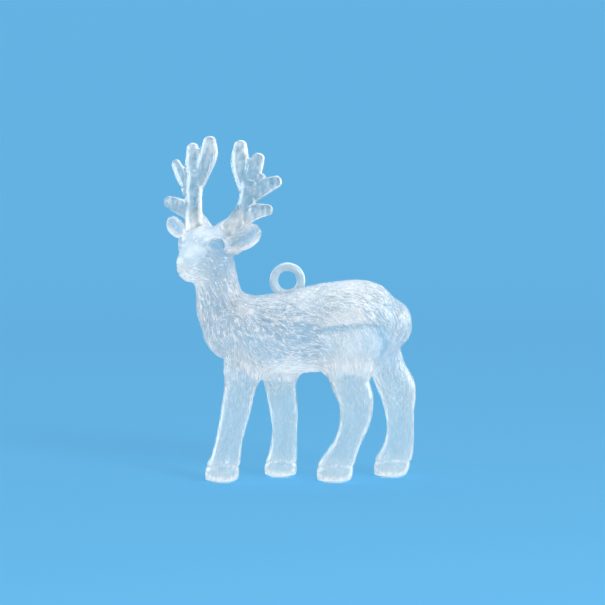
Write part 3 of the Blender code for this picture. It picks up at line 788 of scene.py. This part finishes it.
def sculpt_face(skin):
    """Eyes between lids, tear lines, nostrils, the mouth, the jaw's edge, the cheeks and the nose."""
    part = skin.points - np.array(HEAD)
    face = np.stack([part @ np.array(axis) for axis in HEAD_AXES], axis=1)
    sides = [face * (side, 1, 1) for side in (1, -1)]
    amounts = np.zeros(len(face))
    for own in sides:
        flat = np.stack([own @ EYE_FORWARD, own[:, 2]], axis=1) - EYE_MIDDLE
        shown = fade(own @ EYE_OUTWARD, 5.0, 7.0)
        socket, ball = oval(flat, EYE_SOCKET), oval(flat, EYE_BALL)
        lids = 0.7 * ridge(flat, UPPER_LID, 0.6) + 0.6 * ridge(flat, LOWER_LID, 0.5)
        amounts += shown * (lids - 0.4 * socket + 0.6 * ball)
        # Painted shade in the socket, and painted highlight on the lids and the ball
        skin.tone += shown * (0.9 * lids - 0.4 * socket + 0.35 * ball)
        for line, width, high in FACE_LINES:
            amounts += high * ridge(own, line, width)
    # Painted light and shade from the relief so far: darker in the grooves and the socket, lighter on
    # the lids, the ball and the jaw's edge
    skin.tone += np.clip(0.6 * amounts, -0.4, 0.4)
    for own in sides:
        amounts += 0.45 * ridge(own, MUZZLE_EDGE, 1.3)
        amounts -= 0.5 * blob(own, *CHEEK)
        for centre, reach, dark in FACE_SHADE:
            skin.tone -= dark * blob(own, centre, reach)
    amounts -= 0.25 * ridge(face, PHILTRUM, 0.35)
    amounts += 0.12 * blob(face, *NOSE_PAD)
    skin.push(amounts)


def sculpt_hooves(skin):
    """Round the sole's edge, with a painted highlight on the lip over it, a groove above that and a
    cleft at the toe.
    """
    points = skin.points
    height = points[:, 2]
    lip = bell(height, *HOOF_LIP)
    groove = bell(height - 1.2 * noise(points, 2.5, 41), *HOOF_GROOVE)
    sole = np.clip(1 - height / HOOF_LIP[0], 0, 1.5) ** 2 * (height > -0.5)
    amounts = 0.3 * lip - 0.35 * groove - 0.9 * sole
    # Painted highlight along the lip
    skin.tone += 0.45 * lip
    for _, stations in LEGS.values():
        x, y = stations[-2][:2]
        cleft = bell(points[:, 1], y, 0.5) * fade(-skin.normals[:, 0], 0.2, 0.9)
        amounts -= 0.5 * cleft * (np.abs(points[:, 0] - x) < 8) * (1 - fade(height, 3.5, 5.5))
    skin.push(amounts * (1 - fade(height, *HOOF_TOP)))


def leg_tops(points):
    """How far inside a leg's own clear plastic each point is, from its rounded top downwards."""
    inside = np.zeros(len(points))
    for height, stations in LEGS.values():
        x, y, _, wide, _ = min(through(stations), key=lambda row: abs(row[2] - height))
        aside = np.clip(np.abs(points[:, 0] - x) / wide, 0, 1.2)
        dome = height - LEG_TOP_DROP + LEG_TOP_RISE * (1 - aside**2)
        below = fade(dome - points[:, 2], -0.7, 0.9)
        inside = np.maximum(inside, below * (points[:, 1] * y > 0))
    return inside


def leg_glints():
    """Painted highlights along the front and the back of each leg and round each hoof, as more sheen
    rows.
    """
    rows = []
    for _, stations in LEGS.values():
        for side in (-0.9, 0.9):
            rows.append(([(x + side * wide, z) for x, _, z, wide, _ in stations[2:-1]], 0.45, 0.5))
        x, _, _, wide, _ = stations[-2]
        rim = [(x - wide, 3.2), (x - 0.5 * wide, 1.5), (x + 0.5 * wide, 1.4), (x + wide, 3.0)]
        crown = [(x - 0.8 * wide, 4.6), (x, 5.6), (x + 0.8 * wide, 5.2)]
        rows += [(rim, 0.5, 0.8), (crown, 0.4, 0.5)]
    return rows


def sheen_at(points):
    """The strongest painted highlight, or painted shade, that any line of sheen or shade throws on each
    point.
    """
    flat = points * (1, 0, 1)
    sheen = np.zeros(len(points))
    for line, width, strength in [*SHEEN_AND_SHADE, *leg_glints()]:
        glow = strength * ridge(flat, [(x, 0, z) for x, z in line], width)
        sheen = np.where(np.abs(glow) > np.abs(sheen), glow, sheen)
    return sheen


def grow_fur(skin):
    """Cut the hair as grooves along its lie, fine hairs over broader locks, and paint the coat's frost
    and tone, with painted highlights and shade in the tone.
    """
    lie, deep, frost = coat(skin.points)
    clear = leg_tops(skin.points)
    hoof = 1 - fade(skin.points[:, 2], 4, 9)
    frost = frost + clear * (LEG_FROST - frost) + HOOF_FROST * clear * hoof
    sheen = sheen_at(skin.points)
    along = unit(lie - skin.normals * np.sum(lie * skin.normals, axis=1)[:, None])
    locks = streaks(skin.points, along, *LOCKS, 12)
    hair = streaks(skin.points, along, *HAIR, 11)
    rough = noise(skin.points, 1.1, 13) + noise(skin.points, 0.5, 14) - 1
    deep = deep * (0.75 + 0.5 * noise(skin.points, 5.0, 15))
    weights = (HAIR_RELIEF, HAIR_FROST, HAIR_TONE)
    relief, milky, bright = (deep * (fine * hair + broad * locks) for fine, broad in weights)
    fetlock = bell(skin.points[:, 2], *FETLOCK)
    skin.push(relief + (0.02 + 0.12 * fetlock) * rough - 0.06)

    # The sheen and shade, broken up by the hairs: painted highlights, and painted shade where below 0
    glint = sheen * (0.6 + 0.5 * np.clip(hair, -1, 1.5))
    veil = frost + milky + SHEEN_FROST * glint + RELIEF_FROST * skin.tone
    edge_of_top = clear * (1 - clear) * 4
    specks = fade(noise(skin.points, 0.7, 17), 0.62, 0.72)
    patches = noise(skin.points, 3.0, 16) + noise(skin.points, 0.9, 18) - 1
    bands = noise(skin.points * (1, 1, 2), 1.6, 19) - 0.5
    # The tone: painted light and shade of the relief, the hairs and the sheen, over the coat's own
    # patches, hoof bands and fetlock specks, the clear legs a little darker
    tone = COAT_TONE - LEG_SHADE * clear + skin.tone + bright + glint
    tone += 0.12 * patches - 0.08 * edge_of_top + 0.5 * fetlock * specks
    tone += 0.6 * bands * (1 - fade(skin.points[:, 2], 3.5, 5.5))
    skin.paint("frost", np.clip(veil, 0, 1))
    skin.paint("tone", np.clip(tone, 0, 1))
    skin.paint("clear", clear)
    skin.paint("fur", deep)
    # Doubled angles make a direction and its opposite the same lie
    turned = 2 * np.arctan2(lie[:, 2], lie[:, 0])
    skin.paint("lie", np.stack([np.cos(turned), np.zeros(len(turned)), np.sin(turned)], axis=1))


def near_leg(points, name):
    """Whether each point belongs to the lower part of the named leg."""
    height, stations = LEGS[name]
    rows = [row for row in through(stations) if row[2] < height + CUT_OVERLAP][::-1]
    levels = [row[2] for row in rows]
    x_low = np.interp(points[:, 2], levels, [row[0] - row[3] - LEG_MARGIN for row in rows])
    x_high = np.interp(points[:, 2], levels, [row[0] + row[3] + LEG_MARGIN for row in rows])
    own_side = points[:, 1] * stations[-2][1] > 0
    return (points[:, 0] > x_low) & (points[:, 0] < x_high) & own_side


def part_of(mesh, keep):
    """A bmesh of the faces of the mesh whose corners are all kept."""
    bm = bmesh.new()
    bm.from_mesh(mesh)
    bm.verts.ensure_lookup_table()
    bmesh.ops.delete(bm, geom=[bm.verts[i] for i in np.flatnonzero(~keep)], context="VERTS")
    return bm


def everything(bm):
    """All that a bmesh holds."""
    return [*bm.verts, *bm.edges, *bm.faces]


def stump_of(bm, name):
    """The points of the named leg that a bmesh still holds, with the edges and faces that touch them."""
    near = near_leg(np.array([vert.co for vert in bm.verts]), name)
    top = LEGS[name][0] + CUT_OVERLAP
    verts = [vert for vert, own in zip(bm.verts, near) if own and vert.co.z < top]
    edges = dict.fromkeys(edge for vert in verts for edge in vert.link_edges)
    faces = dict.fromkeys(face for vert in verts for face in vert.link_faces)
    return [*verts, *edges, *faces]


def cut_flat(bm, geometry, place, normal):
    """Cut away what lies behind the plane, and close the cut with a flat face of the second material."""
    bmesh.ops.bisect_plane(
        bm, geom=geometry, dist=1e-5, plane_co=place, plane_no=normal,
        clear_inner=True, clear_outer=False,
    )
    place, normal = Vector(place), Vector(normal)

    def on_plane(edge):
        return all(abs((vert.co - place).dot(normal)) < ON_PLANE for vert in edge.verts)

    rim = [edge for edge in bm.edges if edge.is_boundary and on_plane(edge)]
    for face in bmesh.ops.holes_fill(bm, edges=rim, sides=0)["faces"]:
        face.material_index = 1


def make_skin_pieces(frosted, clear, weld):
    """The fused skin of body and legs, cut at the leg joints and along the body's seam."""
    skin = Skin("skin", body_forms())
    skin.fuse(ROUGH_VOXEL, 5)
    skin.smooth(FILLET_ROUNDS, fillets(skin.points))
    skin.fuse(SKIN_VOXEL, 3)
    sculpt_forms(skin)
    sculpt_ears(skin)
    sculpt_face(skin)
    sculpt_hooves(skin)
    grow_fur(skin)
    points, mesh = skin.points, skin.remove()
    body = np.ones(len(points), bool)
    for name, (height, _) in LEGS.items():
        own = near_leg(points, name)
        bm = part_of(mesh, own & (points[:, 2] < height + CUT_OVERLAP))
        cut_flat(bm, everything(bm), (0, 0, height), (0, 0, -1))
        cut_flat(bm, everything(bm), (0, 0, 0), (0, 0, 1))
        place_piece("clear_" + name, to_mesh(bm, name), "clear_plastic", [clear, weld], name)
        body &= ~(own & (points[:, 2] < height - CUT_OVERLAP))
    for name, side in (("body_shell_left", -1), ("body_shell_right", 1)):
        bm = part_of(mesh, body & (points[:, 1] * side > -CUT_OVERLAP))
        for leg, (height, stations) in LEGS.items():
            if stations[0][1] * side > 0:
                cut_flat(bm, stump_of(bm, leg), (0, 0, height), (0, 0, 1))
        cut_flat(bm, everything(bm), (0, 0, 0), (0, side, 0))
        place_piece("frosted_" + name, to_mesh(bm, name), "frosted_plastic", [frosted, weld], name)


def make_antler(name, material):
    """An antler with flattened faces, bevelled sides and a slightly pitted and streaked surface."""
    branches = [[(x, z, r, r * ANTLER_FLATNESS) for x, z, r in branch] for branch in ANTLERS[name]]
    webs = [[(x, z, r, WEB_THICKNESS) for x, z, r in web] for web in WEBS[name]]
    bm = bmesh.new()
    for sections in [*branches, *webs]:
        rows = [(x, antler_depth(x, z), z, wide, deep) for x, z, wide, deep in sections]
        add_loft(bm, rows, depth_axis=FORWARD, cap=BLUNT)
    skin = Skin(name, bm)
    skin.fuse(ROUGH_ANTLER_VOXEL, 8)
    skin.fuse(ANTLER_VOXEL, 2)
    facing = np.abs(skin.normals @ np.array(FORWARD))
    skin.push(-0.4 * fade(facing, 0.5, 0.95))
    skin.smooth(5)
    pitted = noise(skin.points, 1.3, 21) + 0.6 * noise(skin.points, 0.6, 22) - 0.8
    skin.push(0.035 * pitted * (1 - 0.5 * fade(facing, 0.5, 0.9)))

    facing = np.abs(skin.normals @ np.array(FORWARD))
    edge = 1 - fade(facing, 0.45, 0.9)
    bevel = bell(facing, 0.84, 0.08)
    foot = 1 - fade(skin.points[:, 2], ANTLER_FOOT + 1, ANTLER_FOOT + 8)
    tip = fade(skin.points[:, 2], *ANTLER_TIPS)
    streaked = noise(skin.points * (1, 1, 0.3), 0.8, 23) - 0.5
    frost = 0.42 + 0.25 * edge + 0.2 * pitted + 0.3 * streaked + 0.3 * foot + 0.2 * tip
    # Painted highlight along the edges and painted shade on the bevel beside them
    tone = 0.46 + 0.15 * edge - 0.4 * bevel + 0.3 * pitted + 0.5 * streaked + 0.4 * foot + 0.2 * tip
    skin.paint("frost", np.clip(frost, 0, 1))
    skin.paint("tone", np.clip(tone, 0, 1))
    place_piece("clear_" + name, skin.remove(), "clear_plastic", [material], name)


def make_ring(material):
    """The hanging ring, a round wire that sinks into the back."""
    bpy.ops.mesh.primitive_torus_add(
        major_radius=RING_RADIUS, minor_radius=RING_WIRE, major_segments=128, minor_segments=40,
        location=RING, rotation=(math.pi / 2, 0, 0),
    )
    torus = bpy.context.object
    bm = bmesh.new()
    bm.from_mesh(torus.data)
    bm.transform(torus.matrix_world)
    bpy.data.objects.remove(torus)
    ring = Skin("ring", bm)
    mottle = noise(ring.points, 1.6, 51)
    ring.push(0.05 * (mottle - 0.5))
    ring.paint("frost", 0.4 + 0.3 * mottle)
    ring.paint("tone", 0.25 + 0.6 * mottle)
    place_piece("blue_hanging_ring", ring.remove(), "ring_plastic", [material], "hanging_ring")


class Graph:
    """A material, and short ways to add to its nodes."""

    def __init__(self, name):
        self.material = bpy.data.materials.new(name)
        self.material.use_nodes = True
        self.tree = self.material.node_tree
        self.shader = self.tree.nodes["Principled BSDF"]

    def feed(self, node, inputs):
        """Link each named input of a node to a socket, or set it to a value."""
        for name, value in inputs.items():
            if isinstance(value, bpy.types.NodeSocket):
                self.tree.links.new(value, node.inputs[name])
            else:
                node.inputs[name].default_value = value

    def add(self, kind, inputs, output, **settings):
        """Add a node of a kind, and give the named output."""
        node = self.tree.nodes.new("ShaderNode" + kind)
        for name, value in settings.items():
            setattr(node, name, value)
        self.feed(node, inputs)
        return node.outputs[output]

    def painted(self, name, output="Fac"):
        """What each point was painted with under a name."""
        return self.add("Attribute", {}, output, attribute_name=name)

    def maths(self, operation, first, second):
        """A sum, product or the like of a socket and another, or of a socket and a number."""
        return self.add("Math", {0: first, 1: second}, "Value", operation=operation)

    def speckle(self, place, scale, detail):
        """Random values in space."""
        return self.add("TexNoise", {"Vector": place, "Scale": scale, "Detail": detail}, "Fac")

    def spread(self, source, low, high, top=1):
        """A source from 0 to top, spread over a range."""
        inputs = {"Value": source, "From Max": top, "To Min": low, "To Max": high}
        return self.add("MapRange", inputs, "Result")

    def relief(self, height, depth, under=None):
        """Bumps of a depth in millimetres, over other bumps where there are any."""
        inputs = {"Height": height, "Distance": depth * MM}
        if under:
            inputs["Normal"] = under
        return self.add("Bump", inputs, "Normal")

    def mix(self, blend, factor, first, second):
        """Two colours mixed by a factor."""
        inputs = {"Factor": factor, "A": first, "B": second}
        return self.add("Mix", inputs, "Result", data_type="RGBA", blend_type=blend)


def strands(graph, place):
    """The finest hairs: noise drawn out in several directions, each where the hair lies that way."""
    lie = graph.painted("lie", "Vector")
    total = None
    for step in range(STRAND_DIRECTIONS):
        angle = math.pi * step / STRAND_DIRECTIONS
        drawn = {"Vector": place, "Rotation": (0, -angle, 0), "Scale": (STRAND_STRETCH, 1, 1)}
        turned = graph.add("Mapping", drawn, "Vector", vector_type="TEXTURE")
        hairs = graph.speckle(turned, STRAND_SCALE, 0)
        way = (math.cos(2 * angle), 0, math.sin(2 * angle))
        share = graph.add("VectorMath", {0: lie, 1: way}, "Value", operation="DOT_PRODUCT")
        weight = graph.maths("POWER", graph.maths("MAXIMUM", share, 0), STRAND_FOCUS)
        off_line = graph.maths("ABSOLUTE", graph.maths("SUBTRACT", hairs, 0.5), 0)
        line = graph.spread(off_line, 1, 0, STRAND_WIDTH)
        part = graph.maths("MULTIPLY", line, weight)
        total = graph.maths("ADD", part, total) if total else part
    return graph.maths("MULTIPLY", total, graph.painted("fur"))


def plastic(name, colours, ior, clearness, roughness, grain_depth, furry):
    """Frosted clear plastic: frost veils what is seen through it, and tone, with its painted light and
    shade, mixes the colours.
    """
    graph = Graph(name)
    veil = graph.painted("frost")
    light = graph.painted("tone")
    place = graph.add("TexCoord", {}, "Object")
    grain = graph.speckle(place, GRAIN_SCALE, GRAIN_DETAIL)
    matt = graph.spread(grain, *roughness)
    hairs = None
    if furry:
        clear = graph.painted("clear")
        matt = graph.maths("SUBTRACT", matt, graph.maths("MULTIPLY", clear, LEG_GLOSS))
        fine = strands(graph, place)
        hairs = graph.relief(fine, STRAND_DEPTH)
        about_mean = graph.maths("SUBTRACT", fine, STRAND_MEAN)
        # The fine hairs add painted highlights to the tone
        light = graph.maths("ADD", graph.maths("MULTIPLY", about_mean, STRAND_TONE), light)
        veil = graph.maths("ADD", graph.maths("MULTIPLY", about_mean, STRAND_FROST), veil)
    normal = graph.relief(grain, grain_depth, hairs)
    # The darker colour stands for painted shade and darker tone, the lighter for painted highlight and
    # lighter tone
    hollow, raised = ((*colour, 1) for colour in colours)
    colour = graph.mix("MIX", light, hollow, raised)
    if furry:
        colour = graph.mix("MULTIPLY", clear, colour, (*LEG_TINT, 1))
    graph.feed(graph.shader, {
        "IOR": ior,
        "Coat Weight": COAT_WEIGHT,
        "Coat Roughness": COAT_ROUGHNESS,
        "Roughness": matt,
        "Transmission Weight": graph.spread(veil, *clearness),
        "Normal": normal,
        "Coat Normal": normal,
        "Base Color": colour,
    })
    return graph.material


def weld_material():
    """A solvent weld between two pieces of the same plastic: light goes straight through it."""
    graph = Graph("weld")
    graph.feed(graph.shader, {"Alpha": 0})
    return graph.material


def paper_material():
    """Matt blue paper that glows a little of its own when lit, so floor and wall run together."""
    graph = Graph("sweep_paint")
    graph.feed(graph.shader, {
        "Base Color": SWEEP_BLUE,
        "Roughness": 0.95,
        "Specular IOR Level": 0,
        "Emission Color": SWEEP_BLUE,
        "Emission Strength": SWEEP_GLOW,
    })
    return graph.material


def make_stage():
    """A pale blue bowl of floor and wall all round, with an open top, under a white sky."""
    profile = [(0.0, 0.0), (SWEEP_FLOOR, 0.0)]
    for step in range(1, COVE_STEPS + 1):
        angle = math.pi / 2 * step / COVE_STEPS
        across = SWEEP_FLOOR + SWEEP_COVE * math.sin(angle)
        profile.append((across, SWEEP_COVE - SWEEP_COVE * math.cos(angle)))
    profile.append((SWEEP_FLOOR + SWEEP_COVE, SWEEP_HEIGHT))
    bm = bmesh.new()
    line = [bm.verts.new((x, 0, z)) for x, z in profile]
    edges = [bm.edges.new(pair) for pair in zip(line, line[1:])]
    outline = [*line, *edges]
    bmesh.ops.spin(bm, geom=outline, axis=UP, cent=(0, 0, 0), angle=2 * math.pi, steps=SWEEP_SIDES)
    bmesh.ops.remove_doubles(bm, verts=bm.verts, dist=1e-5)
    mesh = to_mesh(bm, "sweep")
    shade_smooth(mesh)
    mesh.materials.append(paper_material())
    sweep = bpy.data.objects.new("sweep", mesh)
    # The plastic takes no blue from the paper by reflection, only what is seen through it
    sweep.visible_diffuse = False
    sweep.visible_shadow = False
    bpy.context.scene.collection.objects.link(sweep)

    world = bpy.data.worlds.new("studio")
    world.use_nodes = True
    sky = world.node_tree.nodes["Background"]
    sky.inputs["Color"].default_value = SKY_COLOUR
    sky.inputs["Strength"].default_value = SKY_STRENGTH
    bpy.context.scene.world = world
    return sweep


def all_but(obj):
    """A set for a light to shine on: everything but the object."""
    lit = bpy.data.collections.new("all_but_" + obj.name)
    lit.objects.link(obj)
    lit.collection_objects[0].light_linking.link_state = "EXCLUDE"
    return lit


def add_light(name, place, size, power, lit):
    """A square softbox, out of the camera's sight, that shines on the lit set or else on everything."""
    light = bpy.data.lights.new(name, "AREA")
    light.shape = "SQUARE"
    light.size = size
    light.energy = power
    light.color = LIGHT_COLOUR
    obj = bpy.data.objects.new(name, light)
    obj.location = place
    obj.rotation_euler = (LIGHT_AIM - Vector(place)).to_track_quat("-Z", "Y").to_euler()
    obj.visible_camera = False
    obj.light_linking.receiver_collection = lit
    bpy.context.scene.collection.objects.link(obj)


def make_camera():
    """A long lens at the side, a little above the stag's middle."""
    data = bpy.data.cameras.new("camera")
    data.lens = CAMERA_LENS
    data.sensor_width = CAMERA_SENSOR
    data.clip_start = 0.01
    camera = bpy.data.objects.new("camera", data)
    look = Vector((0, math.cos(CAMERA_RISE), -math.sin(CAMERA_RISE)))
    camera.location = CAMERA_AIM * MM + seam_shift() - look * CAMERA_DISTANCE
    camera.rotation_euler = look.to_track_quat("-Z", "Y").to_euler()
    bpy.context.scene.collection.objects.link(camera)
    bpy.context.scene.camera = camera


frosted = plastic("frosted_skin", **SKIN_PLASTIC)
clear = plastic("clear_skin", **SKIN_PLASTIC)
antler_ice = plastic("antler_skin", **ANTLER_PLASTIC)
ring_blue = plastic("ring_skin", **RING_PLASTIC)

make_camera()
stag_only = all_but(make_stage())
for name, place, size, power, lights_floor in LIGHTS:
    add_light(name, place, size, power, None if lights_floor else stag_only)
bpy.context.scene.view_settings.view_transform = "Standard"

make_skin_pieces(frosted, clear, weld_material())
for antler in ANTLERS:
    make_antler(antler, antler_ice)
make_ring(ring_blue)

bpy.context.view_layer.update()
